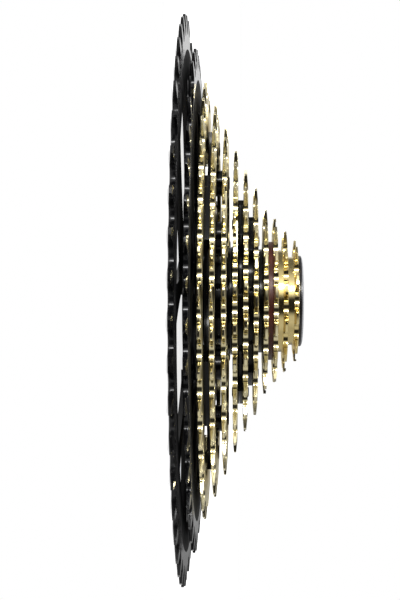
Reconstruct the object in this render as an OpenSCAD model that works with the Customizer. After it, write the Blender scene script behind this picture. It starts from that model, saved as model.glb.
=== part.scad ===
// Twelve-speed bicycle cassette: twelve toothed sprockets on three riveted carriers, spacers
// and a screwed lockring. The axis is +Z, the back of the largest sprocket lies at Z = 0, and
// the smallest sprocket and the lockring are on top.

/* [Chain] */
// Chain pitch, from pin to pin
chain_pitch = 12.7; // [12.5:0.05:12.9]
// Diameter of the roller seat between two teeth
seat_d = 7.95; // [7.8:0.05:8.2]
// Lean of a tooth flank from the radius, in degrees
flank_lean = 20; // [16:1:23]
// Height taken off the standard tooth tip
tip_trim = 0.3; // [0:0.1:1]

/* [Sprockets] */
// Tooth counts, from the largest sprocket to the smallest
teeth = [51, 45, 39, 35, 31, 27, 23, 20, 16, 14, 12, 10]; // [10:1:52]
// Thickness of every sprocket
sprocket_t = 1.65; // [1.5:0.05:1.9]
// Distance between neighbouring sprockets, face to face on one side
sprocket_pitch = 3.7; // [3.5:0.05:4]
// Extra distance of the ten-tooth sprocket from its neighbour
last_step = 0.4; // [0.2:0.05:0.6]
// Thickness of a tooth at its tip
tip_t = 0.9; // [0.7:0.05:1.2]
// Width of the solid rim under the teeth
rim_w = 5.7; // [5:0.1:7]
// Depth of a shift ramp at its deep end
ramp_depth = 0.8; // [0.5:0.05:1]
// Length of a shift ramp along the rim
ramp_l = 15; // [12:0.5:18]
// Reach of a shift ramp below the tooth root
ramp_reach = 3.2; // [2.5:0.1:4.5]

/* [Large cluster] */
// Width of the solid rim under the teeth of the two aluminium sprockets
large_rim_w = 16; // [14:0.5:18]
// Inner radius of the inner ring of these two
inner_ring_r1 = 24; // [22.5:0.5:25]
// Outer radius of that ring
inner_ring_r2 = 36; // [35.5:0.5:38]
// Width of a spoke at its waist
spoke_w = 7; // [6:0.1:8]
// Width of a spoke at its ends
spoke_end_w = 13; // [11:0.5:15]
// Angle between the two spokes of a pair at the rim, in degrees
spoke_spread = 36; // [33:0.5:39]
// Depth of the pocket in the back of the inner ring, which takes the rivet heads
back_pocket = 0.7; // [0.6:0.05:0.8]
// Distance of its rivets from the outside of that ring
large_rivet_inset = 5.5; // [4.5:0.1:6.5]

/* [Middle cluster] */
// Reach of the lobes of the middle carrier
middle_lobe_r = 64; // [62.5:0.1:65]
// Distance of the outer rivets from the end of a lobe
middle_lobe_end = 6; // [5:0.1:7]
// Distance from the outer rivets in to the bosses that carry the third steel sprocket
middle_boss_step = 13; // [12:0.1:14.5]
// Diameter of a boss
boss_d = 10; // [8:0.1:10.6]

/* [Small cluster] */
// Reach of the lower lobes of the small carrier
small_lobe_r = 39.3; // [38.8:0.1:39.8]
// Distance of the outer rivets from the end of a lower lobe
small_lobe_end = 3.3; // [3:0.1:4]
// Radius of the lugs that stand on the lower lobes beside the upper ones
small_lug_r = 3.3; // [3:0.1:4]
// Distance of the inner rivets from the end of an upper lobe
small_step_end = 4; // [3.5:0.1:4.5]

/* [Rivets] */
// Diameter of the rivets of the large and middle clusters
rivet_d = 3.2; // [2.8:0.1:3.6]
// Diameter of their heads
rivet_head_d = 5.4; // [4.8:0.1:5.8]
// Diameter of the rivets of the small cluster
small_rivet_d = 2.4; // [2:0.1:2.6]
// Diameter of their heads
small_rivet_head_d = 4; // [3.6:0.1:4.4]
// Height of a rivet head
rivet_head_h = 0.5; // [0.3:0.05:0.55]

/* [Hub and spline] */
// Diameter inside the spline lands
bore_d = 28.2; // [27.8:0.1:28.6]
// Number of spline grooves
spline_count = 23; // [19:1:25]
// Width of a spline groove
spline_w = 0.85; // [0.7:0.05:0.9]
// Depth of a spline groove
spline_depth = 0.8; // [0.5:0.05:1]
// Wall of the carrier hubs outside the spline grooves
hub_wall = 2.1; // [1.5:0.1:3]
// Step from the back of the largest sprocket up to the seat of the hub
hub_recess = 0.4; // [0.2:0.1:1]

/* [Spacers] */
// Diameter of the ring between the middle and small clusters
cluster_spacer_d = 41.4; // [38:0.2:44]
// Diameter of the black ring under the fourth sprocket from the top
black_spacer_d = 39.6; // [38:0.2:44]
// Diameter of the red ring
red_spacer_d = 45.2; // [42:0.2:47]
// Clearance of the black and red rings outside the spline grooves
spacer_play = 0.2; // [0.1:0.05:0.5]
// Diameter of the collar on the twelve-tooth sprocket
collar_12_d = 39; // [37:0.2:40]
// Wall of the collar on the ten-tooth sprocket outside the spline grooves, which its dogs span
collar_10_wall = 1.9; // [1.5:0.1:2.2]
// Number of drive dogs between the two smallest sprockets
dog_count = 6; // [4:1:8]
// Width of a drive dog
dog_w = 3; // [2.5:0.1:3.5]
// Height of a drive dog
dog_h = 0.9; // [0.6:0.1:1.2]

/* [Lockring] */
// Diameter of the lockring flange
lockring_d = 34.6; // [32:0.2:36]
// Thickness of the flange
lockring_t = 1.3; // [1:0.05:1.8]
// Clearance of the screwed sleeve inside the spline lands
sleeve_inset = 1.2; // [1:0.1:1.6]
// Length of the sleeve below the flange
sleeve_l = 10.5; // [8:0.5:14]
// Wall of the sleeve round the tool socket
sleeve_wall = 2.3; // [2:0.1:2.7]
// Number of tool notches
notch_count = 12; // [8:1:12]
// Width of a tool notch
notch_w = 1.3; // [1:0.05:1.35]
// Depth of a tool notch
notch_depth = 1; // [0.6:0.1:1.2]
// Thickness of the washer under the flange
washer_t = 0.4; // [0.3:0.05:0.6]

/* [Hidden] */
$fn = 96;
// Small overlap that lets a cut run past the face it opens
cut = 1;
// Clearance round a rivet and round a piece that slides
rivet_play = 0.05;
slide_play = 0.3;
large_arms = 5;
lobes = 6;
// Turns of the spokes and of the lobes round the axis, in degrees
spoke_turn = 37;
middle_turn = 0;
small_turn = 40;
spline_turn = 4;
// Share of the spacing that a scallop takes between two lobes, and between two arms
scallop_share = 0.75;
arm_share = 0.62;
// Half-width of a lug at its inner end, as a share of its radius
lug_end_share = 0.65;
// Turn of the first tooth gap of each sprocket, which lines the shift ramps up
tooth_turn = [1.7, 6.9, 5, 6.1, 6.3, 6.2, 5.6, 9.4, 8.2, 20.1, 5.8, 16.6];
seat_r = seat_d / 2;
gap = sprocket_pitch - sprocket_t;
bore_r = bore_d / 2;
groove_r = bore_r + spline_depth;
hub_r = groove_r + hub_wall;
spacer_bore_d = 2 * (groove_r + spacer_play);
collar_10_r = groove_r + collar_10_wall;
sleeve_r = bore_r - sleeve_inset;
socket_r = sleeve_r - sleeve_wall;
boss_r = boss_d / 2;
// Radii of the circles of rivets
large_rivet_circle = inner_ring_r2 - large_rivet_inset;
middle_outer_circle = middle_lobe_r - middle_lobe_end;
middle_inner_circle = middle_outer_circle - middle_boss_step;
small_outer_circle = small_lobe_r - small_lobe_end;
// The upper lobes of the small carrier reach to the lugs beside them
small_step_r = small_outer_circle - small_lug_r - slide_play;
small_inner_circle = small_step_r - small_step_end;
// Places of the sprockets in the list of tooth counts
s51 = 0;
s45 = 1;
s39 = 2;
s35 = 3;
s31 = 4;
s27 = 5;
s23 = 6;
s20 = 7;
s16 = 8;
s14 = 9;
s12 = 10;
s10 = 11;
// How far a flank runs inside the circle of the roller seat, so that the two cross cleanly
flank_bite = 0.12;
// Standard tooth tips rise this share of the pitch over the chord of the pitch polygon
tip_rise = 0.6;

function step_angle(n) = 360 / n;
function pitch_r(n) = chain_pitch / (2 * sin(180 / n));
function root_r(n) = pitch_r(n) - seat_r;
function tip_r(n) = chain_pitch / 2 * (tip_rise + 1 / tan(180 / n)) - tip_trim;
function rim_r(n) = root_r(n) - rim_w;
// Radius inside the rim of an aluminium sprocket
function wide_rim_r(n) = root_r(n) - large_rim_w;
// Height of the back face of sprocket k, counted from the largest
function back_z(k) = k * sprocket_pitch + (k == s10 ? last_step : 0);
function front_z(k) = back_z(k) + sprocket_t;
// Distance of a scallop's centre from the axis, where the scallop touches the circle of radius r
// between two lugs and meets the end of a lug at radius end_r, half_w from its middle
function scallop_centre(r, end_r, half_w) =
  (end_r * end_r + half_w * half_w - r * r)
  / (2 * (end_r * cos(180 / lobes) + half_w * sin(180 / lobes) - r));
// Radius of the circles that cut a waist of depth d into a bar of length l
function waist_r(l, d) = (l * l / 4 + d * d) / (2 * d);

// Copies its children n times round the axis.
module around(n, turn = 0) {
  for (i = [0 : n - 1]) rotate(turn + i * 360 / n) children();
}

// The space for one roller: a round seat that opens between two straight flanks.
module tooth_space(n) {
  foot_r = seat_r - flank_bite;
  foot_x = -foot_r * sin(flank_lean);
  foot_y = foot_r * cos(flank_lean);
  mouth_x = tip_r(n) - pitch_r(n) + cut;
  mouth_y = foot_y + (mouth_x - foot_x) * tan(flank_lean);
  translate([pitch_r(n), 0]) {
    circle(seat_r);
    polygon([[foot_x, -foot_y], [mouth_x, -mouth_y], [mouth_x, mouth_y], [foot_x, foot_y]]);
  }
}

// All tooth spaces of sprocket k, cut right through.
module tooth_spaces(k) {
  n = teeth[k];
  translate([0, 0, -cut])
    linear_extrude(sprocket_t + 2 * cut)
      around(n, tooth_turn[k]) tooth_space(n);
}

// A rim from radius r to the tooth tips, thinned towards the tips on both faces.
module rim(n, r) {
  shoulder = pitch_r(n) - seat_r / 3;
  side = (sprocket_t - tip_t) / 2;
  rotate_extrude()
    polygon([
      [r, 0], [shoulder, 0], [tip_r(n), side],
      [tip_r(n), sprocket_t - side], [shoulder, sprocket_t], [r, sprocket_t]
    ]);
}

// Slanted flats in the front face, which lift the chain on to the teeth.
module ramps(k) {
  n = teeth[k];
  count = max(2, floor(n / 8));
  tilt = asin(ramp_depth / ramp_l);
  for (i = [0 : count - 1]) {
    tooth = floor(i * n / count);
    rotate(tooth_turn[k] + (tooth + 0.5) * step_angle(n))
      translate([root_r(n) - ramp_reach, 0, sprocket_t])
        rotate([tilt, 0, 0])
          translate([0, -ramp_l, 0])
            cube([tip_r(n) - root_r(n) + ramp_reach + cut, ramp_l, ramp_depth + cut]);
  }
}

// Holes for rivets on a circle.
module rivet_holes(d, circle_r, n, turn) {
  around(n, turn)
    translate([circle_r, 0, -sprocket_pitch])
      cylinder(h = 3 * sprocket_pitch, d = d + 2 * rivet_play);
}

// A bar along X with a waist: its sides are arcs that flare to the ends.
module waisted_bar(l, waist, end) {
  dip = (end - waist) / 2;
  r = waist_r(l, dip);
  difference() {
    square([l, end], center = true);
    for (s = [-1, 1]) translate([0, s * (waist / 2 + r)]) circle(r);
  }
}

// Five pairs of spokes that cross beside the inner ring and spread to the rim.
module spokes(n) {
  start = inner_ring_r2 - rim_w / 2;
  end = wide_rim_r(n) + rim_w / 2;
  foot_angle = -spoke_spread / 6;
  for (s = [-1, 1])
    around(large_arms, spoke_turn) {
      foot = start * [cos(s * foot_angle), sin(s * foot_angle)];
      head = end * [cos(s * spoke_spread / 2), sin(s * spoke_spread / 2)];
      run = head - foot;
      translate((foot + head) / 2)
        rotate(atan2(run[1], run[0]))
          waisted_bar(norm(run), spoke_w, spoke_end_w);
    }
}

// The rivets of the large cluster stand in pairs, one at the foot of each spoke.
module large_rivet_places() {
  for (s = [-1, 1])
    around(large_arms, spoke_turn + s * spoke_spread / 6)
      translate([large_rivet_circle, 0, 0]) children();
}

// An aluminium sprocket: toothed rim, spokes and inner ring in one piece.
module spoked_sprocket(k) {
  n = teeth[k];
  difference() {
    union() {
      rim(n, wide_rim_r(n));
      linear_extrude(sprocket_t) spokes(n);
      cylinder(h = sprocket_t, r = inner_ring_r2);
    }
    translate([0, 0, -cut]) cylinder(h = sprocket_t + 2 * cut, r = inner_ring_r1);
    tooth_spaces(k);
    ramps(k);
    large_rivet_places()
      translate([0, 0, -cut])
        cylinder(h = sprocket_t + 2 * cut, d = rivet_d + 2 * rivet_play);
  }
}

// A steel sprocket: a toothed ring with lugs that are riveted to a carrier. Scallops between the
// lugs run out to the rim, or to clear_r where a carrier passes through.
module lugged_sprocket(k, rivet_circle, hole_d, lug_r, turn, clear_r = 0) {
  n = teeth[k];
  inner_r = max(rim_r(n), clear_r);
  end_r = rivet_circle - lug_r;
  far = scallop_centre(inner_r, end_r, lug_r * lug_end_share);
  translate([0, 0, back_z(k)])
    difference() {
      rim(n, end_r);
      around(lobes, turn + 180 / lobes)
        translate([far, 0, -cut]) cylinder(h = sprocket_t + 2 * cut, r = inner_r - far);
      tooth_spaces(k);
      ramps(k);
      rivet_holes(hole_d, rivet_circle, lobes, turn);
    }
}

// A disc with rounded lobes: scallops are cut between them, each taking a share of the spacing.
module lobed_disc(n, reach, waist, turn, share = scallop_share) {
  scallop = reach * sin(180 / n) * share;
  difference() {
    circle(reach);
    around(n, turn + 180 / n) translate([waist + scallop, 0]) circle(scallop);
  }
}

// The bore of everything that is driven by the splines, cut from z1 to z2.
module spline_bore(z1, z2) {
  translate([0, 0, z1 - cut])
    linear_extrude(z2 - z1 + 2 * cut) {
      circle(bore_r);
      around(spline_count, spline_turn)
        translate([bore_r - cut, -spline_w / 2]) square([spline_depth + cut, spline_w]);
    }
}

// A rivet between two faces, with a low head at each end.
module rivet(z1, z2, d, head_d) {
  crown = head_d / 2 - rivet_head_h;
  rotate_extrude()
    polygon([
      [0, z1 - rivet_head_h], [crown, z1 - rivet_head_h], [head_d / 2, z1 - rivet_head_h / 3],
      [head_d / 2, z1], [d / 2, z1], [d / 2, z2], [head_d / 2, z2],
      [head_d / 2, z2 + rivet_head_h / 3], [crown, z2 + rivet_head_h], [0, z2 + rivet_head_h]
    ]);
}

// A plain ring.
module ring(z, h, d_out, d_in) {
  translate([0, 0, z])
    difference() {
      cylinder(h = h, d = d_out);
      translate([0, 0, -cut]) cylinder(h = h + 2 * cut, d = d_in);
    }
}

module sprocket_51t() {
  color("#1b1b1d")
    difference() {
      spoked_sprocket(s51);
      translate([0, 0, -cut]) cylinder(h = back_pocket + cut, r = inner_ring_r2);
    }
}

module sprocket_45t() {
  color("#1b1b1d") translate([0, 0, back_z(s45)]) spoked_sprocket(s45);
}

module sprocket_39t() {
  color("#d8c06a")
    lugged_sprocket(s39, middle_outer_circle, rivet_d, middle_lobe_end, middle_turn);
}

module sprocket_35t() {
  color("#d8c06a") lugged_sprocket(s35, middle_outer_circle, rivet_d, rivet_head_d, middle_turn);
}

module sprocket_31t() {
  color("#d8c06a") lugged_sprocket(s31, middle_inner_circle, rivet_d, boss_r, middle_turn);
}

module sprocket_27t() {
  color("#d8c06a")
    lugged_sprocket(s27, small_outer_circle, small_rivet_d, small_rivet_head_d, small_turn);
}

module sprocket_23t() {
  clear_r = small_step_r + slide_play;
  color("#d8c06a")
    lugged_sprocket(s23, small_outer_circle, small_rivet_d, small_lug_r, small_turn, clear_r);
}

module sprocket_20t() {
  color("#d8c06a")
    lugged_sprocket(s20, small_inner_circle, small_rivet_d, small_rivet_head_d, small_turn);
}

// A small sprocket that slides on the splines by itself.
module loose_sprocket(k) {
  translate([0, 0, back_z(k)])
    difference() {
      rim(teeth[k], 0);
      tooth_spaces(k);
      ramps(k);
    }
}

module sprocket_16t() {
  color("#d8c06a")
    difference() {
      loose_sprocket(s16);
      spline_bore(back_z(s16), front_z(s16));
    }
}

module sprocket_14t() {
  color("#d8c06a")
    difference() {
      loose_sprocket(s14);
      spline_bore(back_z(s14), front_z(s14));
    }
}

// The dogs of the ten-tooth sprocket, or with play the notches that they drop into.
module dogs(play) {
  start = groove_r + rivet_play - play;
  end = collar_10_r + play;
  around(dog_count)
    translate([start, -dog_w / 2 - play, front_z(s12) - dog_h - play])
      cube([end - start, dog_w + 2 * play, dog_h + play + cut]);
}

module sprocket_12t() {
  color("#d8c06a")
    difference() {
      union() {
        loose_sprocket(s12);
        translate([0, 0, front_z(s14)]) cylinder(h = gap, d = collar_12_d);
      }
      spline_bore(front_z(s14), front_z(s12));
      dogs(slide_play / 2);
    }
}

module sprocket_10t() {
  bore_10_r = sleeve_r + slide_play;
  color("#d8c06a")
    difference() {
      union() {
        loose_sprocket(s10);
        translate([0, 0, front_z(s12)])
          cylinder(h = back_z(s10) - front_z(s12), r = collar_10_r);
        intersection() {
          dogs(0);
          cylinder(h = front_z(s10), r = collar_10_r);
        }
      }
      translate([0, 0, front_z(s12) - dog_h - cut])
        cylinder(h = front_z(s10) - front_z(s12) + dog_h + 2 * cut, r = bore_10_r);
    }
}

module large_carrier() {
  seat_z = back_z(s39);
  color("#1b1b1d")
    difference() {
      union() {
        translate([0, 0, hub_recess]) cylinder(h = seat_z - hub_recess, r = hub_r);
        translate([0, 0, front_z(s51)])
          linear_extrude(gap)
            lobed_disc(large_arms, inner_ring_r2, inner_ring_r1 - rim_w, spoke_turn, arm_share);
      }
      spline_bore(hub_recess, seat_z);
      large_rivet_places()
        cylinder(h = 2 * sprocket_pitch, d = rivet_d + 2 * rivet_play);
    }
}

module middle_carrier() {
  color("#1b1b1d")
    difference() {
      union() {
        translate([0, 0, back_z(s39)]) cylinder(h = front_z(s31) - back_z(s39), r = hub_r);
        translate([0, 0, front_z(s39)])
          linear_extrude(gap)
            lobed_disc(lobes, middle_lobe_r, middle_inner_circle + boss_r, middle_turn);
        around(lobes, middle_turn)
          translate([middle_inner_circle, 0, front_z(s39)])
            cylinder(h = back_z(s31) - front_z(s39), r = boss_r);
      }
      spline_bore(back_z(s39), front_z(s31));
      around(lobes, middle_turn)
        for (r = [middle_inner_circle, middle_outer_circle])
          translate([r, 0, front_z(s39) - cut])
            cylinder(h = 2 * sprocket_pitch, d = rivet_d + 2 * rivet_play);
      around(lobes, middle_turn + 180 / lobes)
        translate([(hub_r + middle_inner_circle) / 2, 0, front_z(s39) - cut])
          cylinder(h = gap + 2 * cut, r = (middle_inner_circle - hub_r) / 3);
    }
}

module small_carrier() {
  color("#1b1b1d")
    difference() {
      union() {
        translate([0, 0, back_z(s27)]) cylinder(h = front_z(s20) - back_z(s27), r = hub_r);
        translate([0, 0, front_z(s27)])
          linear_extrude(gap)
            lobed_disc(lobes, small_lobe_r, small_step_r, small_turn);
        translate([0, 0, back_z(s23)])
          linear_extrude(back_z(s20) - back_z(s23))
            lobed_disc(lobes, small_step_r, small_inner_circle, small_turn);
      }
      spline_bore(back_z(s27), front_z(s20));
      around(lobes, small_turn)
        for (r = [small_inner_circle, small_outer_circle])
          translate([r, 0, front_z(s27) - cut])
            cylinder(h = 2 * sprocket_pitch, d = small_rivet_d + 2 * rivet_play);
    }
}

module large_rivets() {
  color("#3a3a3c") large_rivet_places() rivet(back_pocket, front_z(s45), rivet_d, rivet_head_d);
}

module middle_outer_rivets() {
  color("#8d8a80")
    around(lobes, middle_turn)
      translate([middle_outer_circle, 0, 0]) rivet(back_z(s39), front_z(s35), rivet_d, rivet_head_d);
}

module middle_inner_rivets() {
  color("#8d8a80")
    around(lobes, middle_turn)
      translate([middle_inner_circle, 0, 0]) rivet(front_z(s39), front_z(s31), rivet_d, rivet_head_d);
}

module small_outer_rivets() {
  color("#8d8a80")
    around(lobes, small_turn)
      translate([small_outer_circle, 0, 0])
        rivet(back_z(s27), front_z(s23), small_rivet_d, small_rivet_head_d);
}

module small_inner_rivets() {
  color("#8d8a80")
    around(lobes, small_turn)
      translate([small_inner_circle, 0, 0])
        rivet(front_z(s27), front_z(s20), small_rivet_d, small_rivet_head_d);
}

module cluster_spacer() {
  color("#1b1b1d")
    difference() {
      translate([0, 0, front_z(s31)]) cylinder(h = gap, d = cluster_spacer_d);
      spline_bore(front_z(s31), back_z(s27));
    }
}

module black_spacer() {
  color("#1b1b1d") ring(front_z(s20), gap, black_spacer_d, spacer_bore_d);
}

module red_spacer() {
  color("#5a1418") ring(front_z(s16), gap, red_spacer_d, spacer_bore_d);
}

module lock_washer() {
  color("#9a9a98")
    ring(front_z(s10), washer_t, lockring_d - lockring_t, 2 * (sleeve_r + slide_play));
}

module lockring() {
  seat_z = front_z(s10) + washer_t;
  edge = lockring_t / 3;
  color("#202022")
    difference() {
      translate([0, 0, seat_z])
        rotate_extrude()
          polygon([
            [socket_r, -sleeve_l], [sleeve_r - edge, -sleeve_l], [sleeve_r, edge - sleeve_l],
            [sleeve_r, 0], [lockring_d / 2, 0], [lockring_d / 2, lockring_t - edge],
            [lockring_d / 2 - 2 * edge, lockring_t], [socket_r, lockring_t]
          ]);
      around(notch_count)
        translate([socket_r - cut, -notch_w / 2, seat_z - sleeve_l - cut])
          cube([notch_depth + cut, notch_w, sleeve_l + lockring_t + 2 * cut]);
    }
}

sprocket_51t();
sprocket_45t();
sprocket_39t();
sprocket_35t();
sprocket_31t();
sprocket_27t();
sprocket_23t();
sprocket_20t();
sprocket_16t();
sprocket_14t();
sprocket_12t();
sprocket_10t();
large_carrier();
middle_carrier();
small_carrier();
large_rivets();
middle_outer_rivets();
middle_inner_rivets();
small_outer_rivets();
small_inner_rivets();
cluster_spacer();
black_spacer();
red_spacer();
lock_washer();
lockring();
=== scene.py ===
"""Studio scene of a wide-range bicycle cassette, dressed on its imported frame.

Every piece of the frame gets a copy with broken edges and a finish, and the lockring also gets its
thread. All lengths are in metres.
"""

import logging
import math
from dataclasses import dataclass, replace
from enum import Enum

import bmesh
import bpy
from mathutils import Matrix, Vector


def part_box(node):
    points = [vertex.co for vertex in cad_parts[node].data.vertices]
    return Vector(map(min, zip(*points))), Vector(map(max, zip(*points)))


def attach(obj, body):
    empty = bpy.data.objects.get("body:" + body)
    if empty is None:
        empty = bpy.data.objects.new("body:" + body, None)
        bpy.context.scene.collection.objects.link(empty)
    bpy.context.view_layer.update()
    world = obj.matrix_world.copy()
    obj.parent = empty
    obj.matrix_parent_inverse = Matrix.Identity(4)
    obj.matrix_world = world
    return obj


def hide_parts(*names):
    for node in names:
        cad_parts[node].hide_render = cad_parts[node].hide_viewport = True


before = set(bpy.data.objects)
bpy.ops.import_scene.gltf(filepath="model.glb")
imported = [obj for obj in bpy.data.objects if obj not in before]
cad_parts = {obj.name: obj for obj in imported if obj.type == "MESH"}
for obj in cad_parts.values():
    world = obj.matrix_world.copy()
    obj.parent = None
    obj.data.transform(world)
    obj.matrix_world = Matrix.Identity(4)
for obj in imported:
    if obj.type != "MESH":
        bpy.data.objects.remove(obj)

LOG = logging.getLogger("cassette")
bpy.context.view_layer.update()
MM = 0.001
AXIS = Vector((0.0, 0.0, 1.0))
WHITE = (1.0, 1.0, 1.0, 1.0)

Color = tuple[float, float, float]
Socket = bpy.types.NodeSocket
Sockets = dict[str, Socket]
Materials = dict[str, bpy.types.Material]


def placed(name: str, data: bpy.types.ID) -> bpy.types.Object:
    """Puts a new object into the scene.

    Args:
        name: Name of the object.
        data: Its mesh, lamp or lens.

    Returns:
        The new object, at the origin.
    """
    made = bpy.data.objects.new(name, data)
    bpy.context.scene.collection.objects.link(made)
    return made


def mesh_of(bm: bmesh.types.BMesh, name: str) -> bpy.types.Mesh:
    """Turns an edited mesh into a mesh block and frees it.

    Args:
        bm: The edited mesh.
        name: Name of the block.

    Returns:
        The mesh block.
    """
    mesh = bpy.data.meshes.new(name)
    bm.to_mesh(mesh)
    bm.free()
    return mesh


class Mark(Enum):
    """The machining marks that a finish carries."""

    TURNED = "turned rings round the axis"
    ROLLED = "fine grain of rolled sheet"


class Tree:
    """A thin layer over a node tree, to add and join nodes in few words."""

    def __init__(self, tree: bpy.types.NodeTree) -> None:
        """Keeps the tree and empties it.

        Args:
            tree: The node tree of a material, a world or a group.
        """
        self.tree = tree
        tree.nodes.clear()

    def add(self, kind: str, **settings: object) -> bpy.types.Node:
        """Adds a node.

        Args:
            kind: Blender's name of the node type.
            **settings: Properties of the node, set as they are given.

        Returns:
            The new node.
        """
        node = self.tree.nodes.new(kind)
        for key, value in settings.items():
            setattr(node, key, value)
        return node

    def join(self, source: Socket, target: Socket) -> None:
        """Links two sockets.

        Args:
            source: The output.
            target: The input.
        """
        self.tree.links.new(source, target)

    def feed(self, target: Socket, value: object) -> None:
        """Links a socket to the target, or sets the target to a plain value.

        Args:
            target: The input that is fed.
            value: An output socket, a number or a tuple.
        """
        if isinstance(value, Socket):
            self.join(value, target)
        else:
            target.default_value = value

    def math(self, operation: str, first: object, second: object = 0.0) -> Socket:
        """Adds a Math node.

        Args:
            operation: The operation's name.
            first: First operand, a socket or a number.
            second: Second operand, a socket or a number.

        Returns:
            The node's output.
        """
        node = self.add("ShaderNodeMath", operation=operation)
        self.feed(node.inputs[0], first)
        self.feed(node.inputs[1], second)
        return node.outputs[0]

    def spread(self, value: Socket, ends: tuple[float, float] = (0.0, 1.0),
               source: tuple[float, float] = (0.0, 1.0), **settings: object) -> Socket:
        """Maps one range of a value to another, and holds it there.

        Args:
            value: The socket to map.
            ends: Results at both ends.
            source: Values at which these are reached.
            **settings: Properties of the Map Range node.

        Returns:
            The mapped value.
        """
        node = self.add("ShaderNodeMapRange", **settings)
        self.join(value, node.inputs["Value"])
        node.inputs["From Min"].default_value, node.inputs["From Max"].default_value = source
        node.inputs["To Min"].default_value, node.inputs["To Max"].default_value = ends
        return node.outputs["Result"]

    def blend(self, factor: Socket, first: object, second: object) -> Socket:
        """Mixes two colours.

        Args:
            factor: Zero for the first colour, one for the second.
            first: A colour socket or three numbers.
            second: A colour socket or three numbers.

        Returns:
            The mixed colour.
        """
        node = self.add("ShaderNodeMix", data_type="RGBA")
        self.join(factor, node.inputs["Factor"])
        ends = [socket for socket in node.inputs if socket.type == "RGBA"]
        for socket, color in zip(ends, (first, second)):
            self.feed(socket, (*color, 1.0) if isinstance(color, tuple) else color)
        return next(socket for socket in node.outputs if socket.type == "RGBA")

    def round_axis(self) -> tuple[Socket, Socket]:
        """Gives the place of a point on the piece.

        Returns:
            Its distance from the axis and its height along it.
        """
        place = self.add("ShaderNodeTexCoord")
        split = self.add("ShaderNodeSeparateXYZ")
        self.join(place.outputs["Object"], split.inputs[0])
        x, y, z = split.outputs
        square = self.math("ADD", self.math("MULTIPLY", x, x), self.math("MULTIPLY", y, y))
        return self.math("SQRT", square), z


class Effects:
    """The node groups that the finishes share."""

    FINE = 2.0
    CLOUDY = 4.0
    NOISE_SPAN = (0.3, 0.7)

    def __init__(self) -> None:
        """Builds both groups once."""
        self.rings = self._turned_rings()
        self.handling = self._handling()

    @staticmethod
    def _start(name: str, inputs: dict[str, float],
               outputs: tuple[str, ...]) -> tuple[Tree, Sockets, Sockets]:
        """Starts a group with named sockets.

        Args:
            name: Name of the group.
            inputs: Names and defaults of its inputs.
            outputs: Names of its outputs.

        Returns:
            The tree, its input sockets by name and its output sockets by name.
        """
        group = bpy.data.node_groups.new(name, "ShaderNodeTree")
        for key, value in inputs.items():
            socket = group.interface.new_socket(
                name=key, in_out="INPUT", socket_type="NodeSocketFloat")
            socket.default_value = value
        for key in outputs:
            group.interface.new_socket(
                name=key, in_out="OUTPUT", socket_type="NodeSocketFloat")
        tree = Tree(group)
        start = tree.add("NodeGroupInput")
        end = tree.add("NodeGroupOutput")
        given = {key: start.outputs[key] for key in inputs}
        return tree, given, {key: end.inputs[key] for key in outputs}

    def _turned_rings(self) -> bpy.types.NodeTree:
        """Fine rings round the axis, as a lathe leaves them.

        Returns:
            A group with the input Rings, per metre, and the output Height.
        """
        tree, given, out = self._start("turned_rings", {"Rings": 3000.0}, ("Height",))
        along = tree.math("ADD", *tree.round_axis())
        noise = tree.add("ShaderNodeTexNoise", noise_dimensions="1D")
        tree.join(tree.math("MULTIPLY", along, given["Rings"]), noise.inputs["W"])
        noise.inputs["Scale"].default_value = 1.0
        noise.inputs["Detail"].default_value = self.FINE
        tree.join(noise.outputs["Fac"], out["Height"])
        return tree.tree

    def _handling(self) -> bpy.types.NodeTree:
        """Soft smudges and fine grain that vary over a piece.

        Returns:
            A group with the inputs Patches and Grain, per metre, and the outputs Smudge and Grain.
        """
        tree, given, out = self._start(
            "handling", {"Patches": 60.0, "Grain": 2500.0}, ("Smudge", "Grain"))
        place = tree.add("ShaderNodeTexCoord")
        layers = (("Smudge", "Patches", self.CLOUDY), ("Grain", "Grain", self.FINE))
        for key, source, detail in layers:
            noise = tree.add("ShaderNodeTexNoise")
            tree.join(place.outputs["Object"], noise.inputs["Vector"])
            tree.join(given[source], noise.inputs["Scale"])
            noise.inputs["Detail"].default_value = detail
            tree.join(tree.spread(noise.outputs["Fac"], source=self.NOISE_SPAN), out[key])
        return tree.tree


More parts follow.
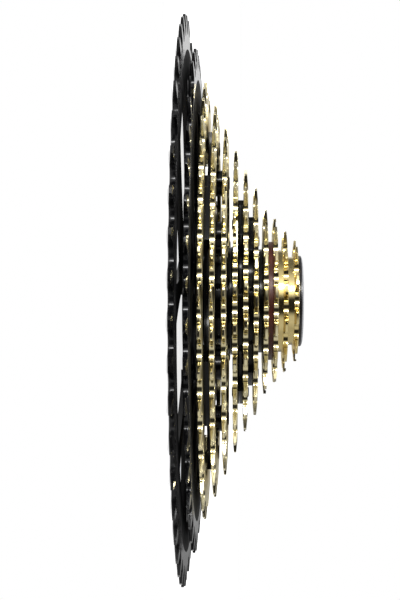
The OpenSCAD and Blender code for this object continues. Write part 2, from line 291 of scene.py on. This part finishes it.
@dataclass(frozen=True)
class Finish:
    """A surface finish: its colours, gloss and marks."""

    name: str
    slot: str
    color: Color
    worn: Color
    metallic: float
    gloss: tuple[float, float]
    mark: Mark
    bump: float = 0.05
    bump_depth: float = 0.05 * MM
    rings: float = 3000.0
    patches: float = 60.0
    specular: float = 0.5

    def material(self, effects: Effects) -> bpy.types.Material:
        """Builds the material.

        Args:
            effects: The shared node groups.

        Returns:
            A procedural material on Object coordinates.
        """
        made = bpy.data.materials.new(self.name)
        made.use_nodes = True
        tree = Tree(made.node_tree)
        out = tree.add("ShaderNodeOutputMaterial")
        skin = tree.add("ShaderNodeBsdfPrincipled")
        tree.join(skin.outputs[0], out.inputs["Surface"])
        touch = tree.add("ShaderNodeGroup", node_tree=effects.handling)
        touch.inputs["Patches"].default_value = self.patches
        shade = tree.blend(touch.outputs["Smudge"], self.color, self.worn)
        self._paint(tree, skin, shade)
        tree.join(self._sheen(tree, touch), skin.inputs["Roughness"])
        skin.inputs["Specular IOR Level"].default_value = self.specular
        bump = tree.add("ShaderNodeBump")
        bump.inputs["Strength"].default_value = self.bump
        bump.inputs["Distance"].default_value = self.bump_depth
        tree.join(self._height(tree, effects, touch), bump.inputs["Height"])
        tree.join(bump.outputs["Normal"], skin.inputs["Normal"])
        return made

    def _paint(self, tree: Tree, skin: bpy.types.Node, shade: Socket) -> None:
        """Feeds the colour and sets how metallic the surface is.

        Args:
            tree: The material's tree.
            skin: The Principled node.
            shade: The colour that varies over the piece.
        """
        tree.join(shade, skin.inputs["Base Color"])
        skin.inputs["Metallic"].default_value = self.metallic

    def _sheen(self, tree: Tree, touch: bpy.types.Node) -> Socket:
        """Lets the grain set how rough the surface is.

        Args:
            tree: The material's tree.
            touch: The handling group already placed in the tree.

        Returns:
            The roughness.
        """
        return tree.spread(touch.outputs["Grain"], self.gloss)

    def _height(self, tree: Tree, effects: Effects, touch: bpy.types.Node) -> Socket:
        """Picks the relief of the finish.

        Args:
            tree: The material's tree.
            effects: The shared node groups.
            touch: The handling group already placed in the tree.

        Returns:
            The height for the bump.
        """
        if self.mark is Mark.ROLLED:
            return touch.outputs["Grain"]
        rings = tree.add("ShaderNodeGroup", node_tree=effects.rings)
        rings.inputs["Rings"].default_value = self.rings
        return rings.outputs["Height"]


@dataclass(frozen=True)
class FacedFinish(Finish):
    """A finish whose edges are bright and whose flat faces are left rougher.

    The front faces are rougher only within the radius of the web.
    """

    back: float = 0.7
    front: float = 0.8
    web: float = 0.0
    flat: float = 0.5

    def _sheen(self, tree: Tree, touch: bpy.types.Node) -> Socket:
        """Makes the back faces rougher, and the front faces too within the web's radius.

        Args:
            tree: The material's tree.
            touch: The handling group already placed in the tree.

        Returns:
            The roughness.
        """
        place = tree.add("ShaderNodeTexCoord")
        split = tree.add("ShaderNodeSeparateXYZ")
        tree.join(place.outputs["Normal"], split.inputs[0])
        behind = tree.math("LESS_THAN", split.outputs["Z"], -self.flat)
        ahead = tree.math("GREATER_THAN", split.outputs["Z"], self.flat)
        within = tree.math("LESS_THAN", tree.round_axis()[0], self.web)
        web = tree.math("MULTIPLY", ahead, within)
        faces = tree.math("ADD", tree.math("MULTIPLY", behind, self.back),
                          tree.math("MULTIPLY", web, self.front))
        return tree.math("MAXIMUM", super()._sheen(tree, touch), faces)


@dataclass(frozen=True)
class RimmedFinish(Finish):
    """A dark finish that is turned away to bare metal on the front rim."""

    bare: Color = (0.60, 0.60, 0.62)
    rim_radius: float = 16.3 * MM
    rim_height: float = 43.9 * MM

    def _paint(self, tree: Tree, skin: bpy.types.Node, shade: Socket) -> None:
        """Feeds colour and metal, with the rim bare.

        Args:
            tree: The material's tree.
            skin: The Principled node.
            shade: The colour that varies over the piece.
        """
        radius, height = tree.round_axis()
        outside = tree.math("GREATER_THAN", radius, self.rim_radius)
        above = tree.math("GREATER_THAN", height, self.rim_height)
        rim = tree.math("MULTIPLY", outside, above)
        tree.join(tree.blend(rim, shade, self.bare), skin.inputs["Base Color"])
        tree.join(tree.spread(rim, (self.metallic, 1.0)), skin.inputs["Metallic"])


BLACK = FacedFinish("black_anodised", "black_aluminium", (0.0025, 0.0025, 0.0028),
                    (0.004, 0.004, 0.0045), 0.0, (0.08, 0.16), Mark.TURNED, specular=0.21)
RIM_51T = replace(BLACK, name="black_rim_51t", web=94.0 * MM, specular=0.31)
RIM_45T = replace(RIM_51T, name="black_rim_45t", web=83.0 * MM)
GOLD = FacedFinish("pale_gold_coating", "gold_steel", (0.80, 0.73, 0.465), (0.74, 0.635, 0.36),
                   1.0, (0.08, 0.16), Mark.ROLLED, back=0.3, front=0.3, web=1.0)
# The same pale gold made darker and browner for the two smallest sprockets: painted shade for the
# light their collars and teeth bounce between each other.
SHADED_GOLD = replace(GOLD, name="gold_coating_with_painted_shade", color=(0.80, 0.67, 0.33),
                    worn=(0.74, 0.585, 0.245))
RED = Finish("dark_red_anodised", "red_aluminium", (0.075, 0.014, 0.008), (0.095, 0.020, 0.012),
             0.0, (0.36, 0.46), Mark.TURNED)
RIVET = Finish("rivet_steel", "rivet_steel", (0.38, 0.36, 0.33), (0.30, 0.28, 0.26),
               1.0, (0.28, 0.42), Mark.ROLLED)
WASHER = Finish("washer_steel", "washer_steel", (0.56, 0.55, 0.54), (0.46, 0.45, 0.44),
                1.0, (0.18, 0.30), Mark.TURNED)
LOCK = RimmedFinish("dark_lockring", "lockring_aluminium", (0.008, 0.008, 0.010),
                    (0.015, 0.015, 0.018), 0.0, (0.22, 0.34), Mark.TURNED)
FINISHES = (BLACK, RIM_51T, RIM_45T, GOLD, SHADED_GOLD, RED, RIVET, WASHER, LOCK)


@dataclass
class Stage:
    """One sliding stage of the stack: the body and the nodes with their finishes."""

    body: str
    nodes: dict[str, Finish]
    edge: float = 0.15 * MM
    merge: float = 0.001 * MM
    flat_angle: float = 0.5
    sharp_angle: float = 32.0
    crease_angle: float = 50.0

    def build(self, materials: Materials) -> None:
        """Makes a copy with broken edges of each node and dresses it.

        Args:
            materials: The materials by finish name.
        """
        for node, finish in self.nodes.items():
            piece = self._broken_edges(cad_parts[node], node + "_finished")
            piece.data.materials.clear()
            piece.data.materials.append(materials[finish.name])
            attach(piece, self.body)
            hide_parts(node)
            LOG.info("%s: %d faces", piece.name, len(piece.data.polygons))

    def _broken_edges(self, node: bpy.types.Object, name: str) -> bpy.types.Object:
        """Copies a node and bevels its sharp edges.

        Args:
            node: The frame's object.
            name: Name of the copy.

        Returns:
            The new object, at the origin.
        """
        bm = bmesh.new()
        bm.from_mesh(node.data)
        bmesh.ops.remove_doubles(bm, verts=bm.verts, dist=self.merge)
        bmesh.ops.dissolve_limit(bm, angle_limit=math.radians(self.flat_angle),
                                 verts=bm.verts, edges=bm.edges)
        limit = math.radians(self.sharp_angle)
        sharp = [e for e in bm.edges if e.is_manifold and e.calc_face_angle() > limit]
        bmesh.ops.bevel(bm, geom=sharp, offset=self.edge, offset_type="OFFSET", segments=1,
                        profile=0.5, affect="EDGES", clamp_overlap=True, material=-1)
        mesh = mesh_of(bm, name)
        mesh.shade_smooth()
        mesh.set_sharp_from_angle(angle=math.radians(self.crease_angle))
        piece = placed(name, mesh)
        weigh = piece.modifiers.new("even_faces", "WEIGHTED_NORMAL")
        weigh.keep_sharp = True
        return piece


@dataclass
class LockringStage(Stage):
    """The lockring, with the thread on its sleeve."""

    sleeve_r: float = 12.9 * MM
    crest: float = 0.22 * MM
    foot: float = 0.2 * MM
    foot_share: float = 0.35
    pitch: float = 1.0 * MM
    turns: int = 7
    lead_in: float = 1.0 * MM
    steps: int = 48

    def build(self, materials: Materials) -> None:
        """Dresses the ring and adds its thread.

        Args:
            materials: The materials by finish name.
        """
        super().build(materials)
        thread = self._thread("lockring_thread")
        thread.data.materials.append(materials[LOCK.name])
        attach(thread, self.body)
        LOG.info("%s: %d faces", thread.name, len(thread.data.polygons))

    def _thread(self, name: str) -> bpy.types.Object:
        """Winds a triangular ridge round the sleeve, with its foot sunk into it.

        Args:
            name: Name of the piece.

        Returns:
            The new object, at the origin.
        """
        bm = bmesh.new()
        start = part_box("lockring")[0][2] + self.lead_in
        half = self.foot_share * self.pitch
        section = ((-self.foot, -half), (self.crest, 0.0), (-self.foot, half))
        verts = [bm.verts.new((self.sleeve_r + out, 0.0, start + rise)) for out, rise in section]
        loop = [bm.edges.new((a, b)) for a, b in zip(verts, verts[1:] + verts[:1])]
        bm.faces.new(verts)
        made = bmesh.ops.spin(bm, geom=verts + loop, cent=(0, 0, 0), axis=AXIS,
                              steps=self.turns * self.steps, angle=2 * math.pi * self.turns,
                              dvec=AXIS * (self.pitch / self.steps))
        bm.faces.new([v for v in made["geom_last"] if isinstance(v, bmesh.types.BMVert)])
        bmesh.ops.recalc_face_normals(bm, faces=bm.faces)
        return placed(name, mesh_of(bm, name))


@dataclass
class Viewpoint:
    """Camera place, aim and lens of the picture."""

    distance: float = 0.41278
    height: float = 0.0215
    aim: tuple[float, float, float] = (-0.000255, 0.0, 0.005628)
    roll: float = 0.1613
    focal_px: float = 1075.8
    long_side_px: float = 600.0
    sensor: float = 36.0
    nearest: float = 0.01

    def place(self) -> None:
        """Creates the camera, with the axis lying across the picture."""
        lens = bpy.data.cameras.new("camera")
        lens.sensor_width = self.sensor
        lens.lens = self.focal_px / self.long_side_px * self.sensor
        lens.clip_start = self.nearest
        camera = placed("camera", lens)
        spot = Vector((0.0, -self.distance, self.height))
        ahead = (Vector(self.aim) - spot).normalized()
        across = (AXIS - ahead * ahead.z).normalized()
        turn = Matrix((across, across.cross(ahead), -ahead)).transposed().to_4x4()
        roll = Matrix.Rotation(math.radians(self.roll), 4, "Z")
        camera.matrix_world = Matrix.Translation(spot) @ turn @ roll
        bpy.context.scene.camera = camera


@dataclass
class Softbox:
    """A soft lamp that stands round the axis from the camera.

    The angle runs in degrees from the camera's direction towards the top of the picture. The size
    is the width round the axis and the length along it, and the power is in watts.
    """

    name: str
    angle: float
    distance: float
    size: tuple[float, float]
    power: float
    height: float = 0.2
    aim_height: float = 0.02

    def place(self) -> None:
        """Creates the lamp, facing the middle of the object."""
        lamp = bpy.data.lights.new(self.name, "AREA")
        lamp.shape = "RECTANGLE"
        lamp.size, lamp.size_y = self.size
        lamp.energy = self.power
        angle = math.radians(self.angle)
        away = Vector((-math.sin(angle), -math.cos(angle), 0.0))
        spot = away * self.distance + AXIS * self.height
        back = (spot - AXIS * self.aim_height).normalized()
        up = (AXIS - back * back.z).normalized()
        turn = Matrix((up.cross(back), up, back)).transposed().to_4x4()
        placed(self.name, lamp).matrix_world = Matrix.Translation(spot) @ turn


@dataclass
class Studio:
    """Floor, surroundings and lamp.

    The room is a list of angles round the axis, in degrees from the camera's direction, each with
    its brightness. The first two are the ends of the turn.
    """

    floor_side: float = 6.0
    floor_front: float = 0.108
    floor_gap: float = 0.3 * MM
    floor_glow: float = 0.8
    floor_gleam: float = 0.3
    floor_color: Color = (0.85, 0.85, 0.85)
    floor_roughness: float = 0.9
    room: tuple[tuple[float, float], ...] = (
        (-180, 0.85), (180, 0.85), (-163, 0.14), (-130, 0.50), (-105, 0.48), (-75, 0.48),
        (-58, 0.66), (-40, 0.62), (-34, 0.38), (-28, 0.06), (-22, 0.02), (5, 0.02), (12, 0.45),
        (20, 1.6), (32, 2.2), (44, 1.5), (58, 0.92), (70, 0.72), (84, 0.34), (100, 0.16),
        (140, 0.16), (160, 0.90))
    ceiling: tuple[float, float] = (0.15, 0.90)
    ceiling_depth: float = 0.25
    ceiling_from: tuple[float, float] = (0.5, 0.9)

    def build(self) -> None:
        """Makes the floor, the surroundings and the lamp."""
        self._floor()
        self._surroundings()
        Softbox("key_strip", angle=32.0, distance=0.9, size=(0.15, 0.7), power=6.6).place()

    def _seen(self, tree: Tree) -> Socket:
        """The glow that keeps the floor white to the rays that show the background.

        Args:
            tree: The tree that uses the glow.

        Returns:
            The strength on camera and transmission rays, a lower one on glossy rays, and zero
            on others.
        """
        rays = tree.add("ShaderNodeLightPath").outputs
        straight = tree.math("MAXIMUM", rays["Is Camera Ray"], rays["Is Transmission Ray"])
        return tree.math("ADD", tree.math("MULTIPLY", straight, self.floor_glow),
                         tree.math("MULTIPLY", rays["Is Glossy Ray"], self.floor_gleam))

    def _floor(self) -> None:
        """A pale floor that ends in front of the object and is clear from below."""
        bm = bmesh.new()
        half = self.floor_side / 2
        bmesh.ops.create_grid(bm, x_segments=1, y_segments=1, size=half)
        bmesh.ops.translate(bm, verts=bm.verts, vec=(0.0, half - self.floor_front, -self.floor_gap))
        floor = placed("floor", mesh_of(bm, "floor"))
        made = bpy.data.materials.new("pale_floor")
        made.use_nodes = True
        tree = Tree(made.node_tree)
        out = tree.add("ShaderNodeOutputMaterial")
        skin = tree.add("ShaderNodeBsdfPrincipled")
        skin.inputs["Base Color"].default_value = (*self.floor_color, 1.0)
        skin.inputs["Roughness"].default_value = self.floor_roughness
        skin.inputs["Emission Color"].default_value = WHITE
        tree.join(self._seen(tree), skin.inputs["Emission Strength"])
        under = tree.add("ShaderNodeNewGeometry")
        mix = tree.add("ShaderNodeMixShader")
        tree.join(under.outputs["Backfacing"], mix.inputs[0])
        tree.join(skin.outputs[0], mix.inputs[1])
        tree.join(tree.add("ShaderNodeBsdfTransparent").outputs[0], mix.inputs[2])
        tree.join(mix.outputs[0], out.inputs["Surface"])
        floor.data.materials.append(made)

    def _surroundings(self) -> None:
        """A room that changes round the axis, under a graded ceiling, with a white background."""
        world = bpy.data.worlds.new("studio")
        world.use_nodes = True
        bpy.context.scene.world = world
        tree = Tree(world.node_tree)
        out = tree.add("ShaderNodeOutputWorld")
        place = tree.add("ShaderNodeTexCoord")
        split = tree.add("ShaderNodeSeparateXYZ")
        tree.join(place.outputs["Generated"], split.inputs[0])
        x, y, z = split.outputs
        back = [tree.math("MULTIPLY", side, -1.0) for side in (x, y)]
        turn = tree.math("DIVIDE", tree.math("ARCTAN2", *back), 2 * math.pi)
        ramp = tree.add("ShaderNodeValToRGB")
        tree.join(tree.math("ADD", turn, 0.5), ramp.inputs[0])
        stops = ramp.color_ramp.elements
        for i, (angle, level) in enumerate(self.room):
            spot = angle / 360 + 0.5
            stop = stops[i] if i < 2 else stops.new(spot)
            stop.position = spot
            stop.color = (level, level, level, 1.0)
        above = tree.spread(z, source=self.ceiling_from, interpolation_type="SMOOTHSTEP")
        overhead = tree.spread(y, self.ceiling, (-self.ceiling_depth, self.ceiling_depth))
        room = tree.add("ShaderNodeBackground")
        tree.join(tree.blend(above, ramp.outputs[0], overhead), room.inputs["Color"])
        white = tree.add("ShaderNodeBackground")
        white.inputs["Color"].default_value = WHITE
        path = tree.add("ShaderNodeLightPath")
        mix = tree.add("ShaderNodeMixShader")
        tree.join(path.outputs["Is Camera Ray"], mix.inputs[0])
        tree.join(room.outputs[0], mix.inputs[1])
        tree.join(white.outputs[0], mix.inputs[2])
        tree.join(mix.outputs[0], out.inputs["Surface"])


STAGES = (
    Stage("large_cluster", {"sprocket_51t": RIM_51T, "sprocket_45t": RIM_45T,
                            "large_carrier": BLACK, "large_rivets": BLACK}),
    Stage("middle_cluster", {"sprocket_39t": GOLD, "sprocket_35t": GOLD, "sprocket_31t": GOLD,
                             "middle_carrier": BLACK, "middle_outer_rivets": RIVET,
                             "middle_inner_rivets": RIVET}),
    Stage("cluster_spacer", {"cluster_spacer": BLACK}),
    Stage("small_cluster", {"sprocket_27t": GOLD, "sprocket_23t": GOLD, "sprocket_20t": GOLD,
                            "small_carrier": BLACK, "small_outer_rivets": RIVET,
                            "small_inner_rivets": RIVET}),
    Stage("black_spacer", {"black_spacer": BLACK}),
    Stage("sprocket_16t", {"sprocket_16t": GOLD}),
    Stage("red_spacer", {"red_spacer": RED}),
    Stage("sprocket_14t", {"sprocket_14t": GOLD}),
    # The 12T and the 10T take the gold with painted shade.
    Stage("sprocket_12t", {"sprocket_12t": SHADED_GOLD}),
    Stage("sprocket_10t", {"sprocket_10t": SHADED_GOLD}),
    Stage("lock_washer", {"lock_washer": WASHER}),
    LockringStage("lockring", {"lockring": LOCK}),
)


def main() -> None:
    """Builds the stages, the studio and the camera."""
    logging.basicConfig(level=logging.INFO, format="%(name)s: %(message)s")
    bpy.context.scene.view_settings.view_transform = "Standard"
    effects = Effects()
    materials = {finish.name: finish.material(effects) for finish in FINISHES}
    for stage in STAGES:
        stage.build(materials)
    Studio().build()
    Viewpoint().place()


if __name__ == "__main__":
    main()
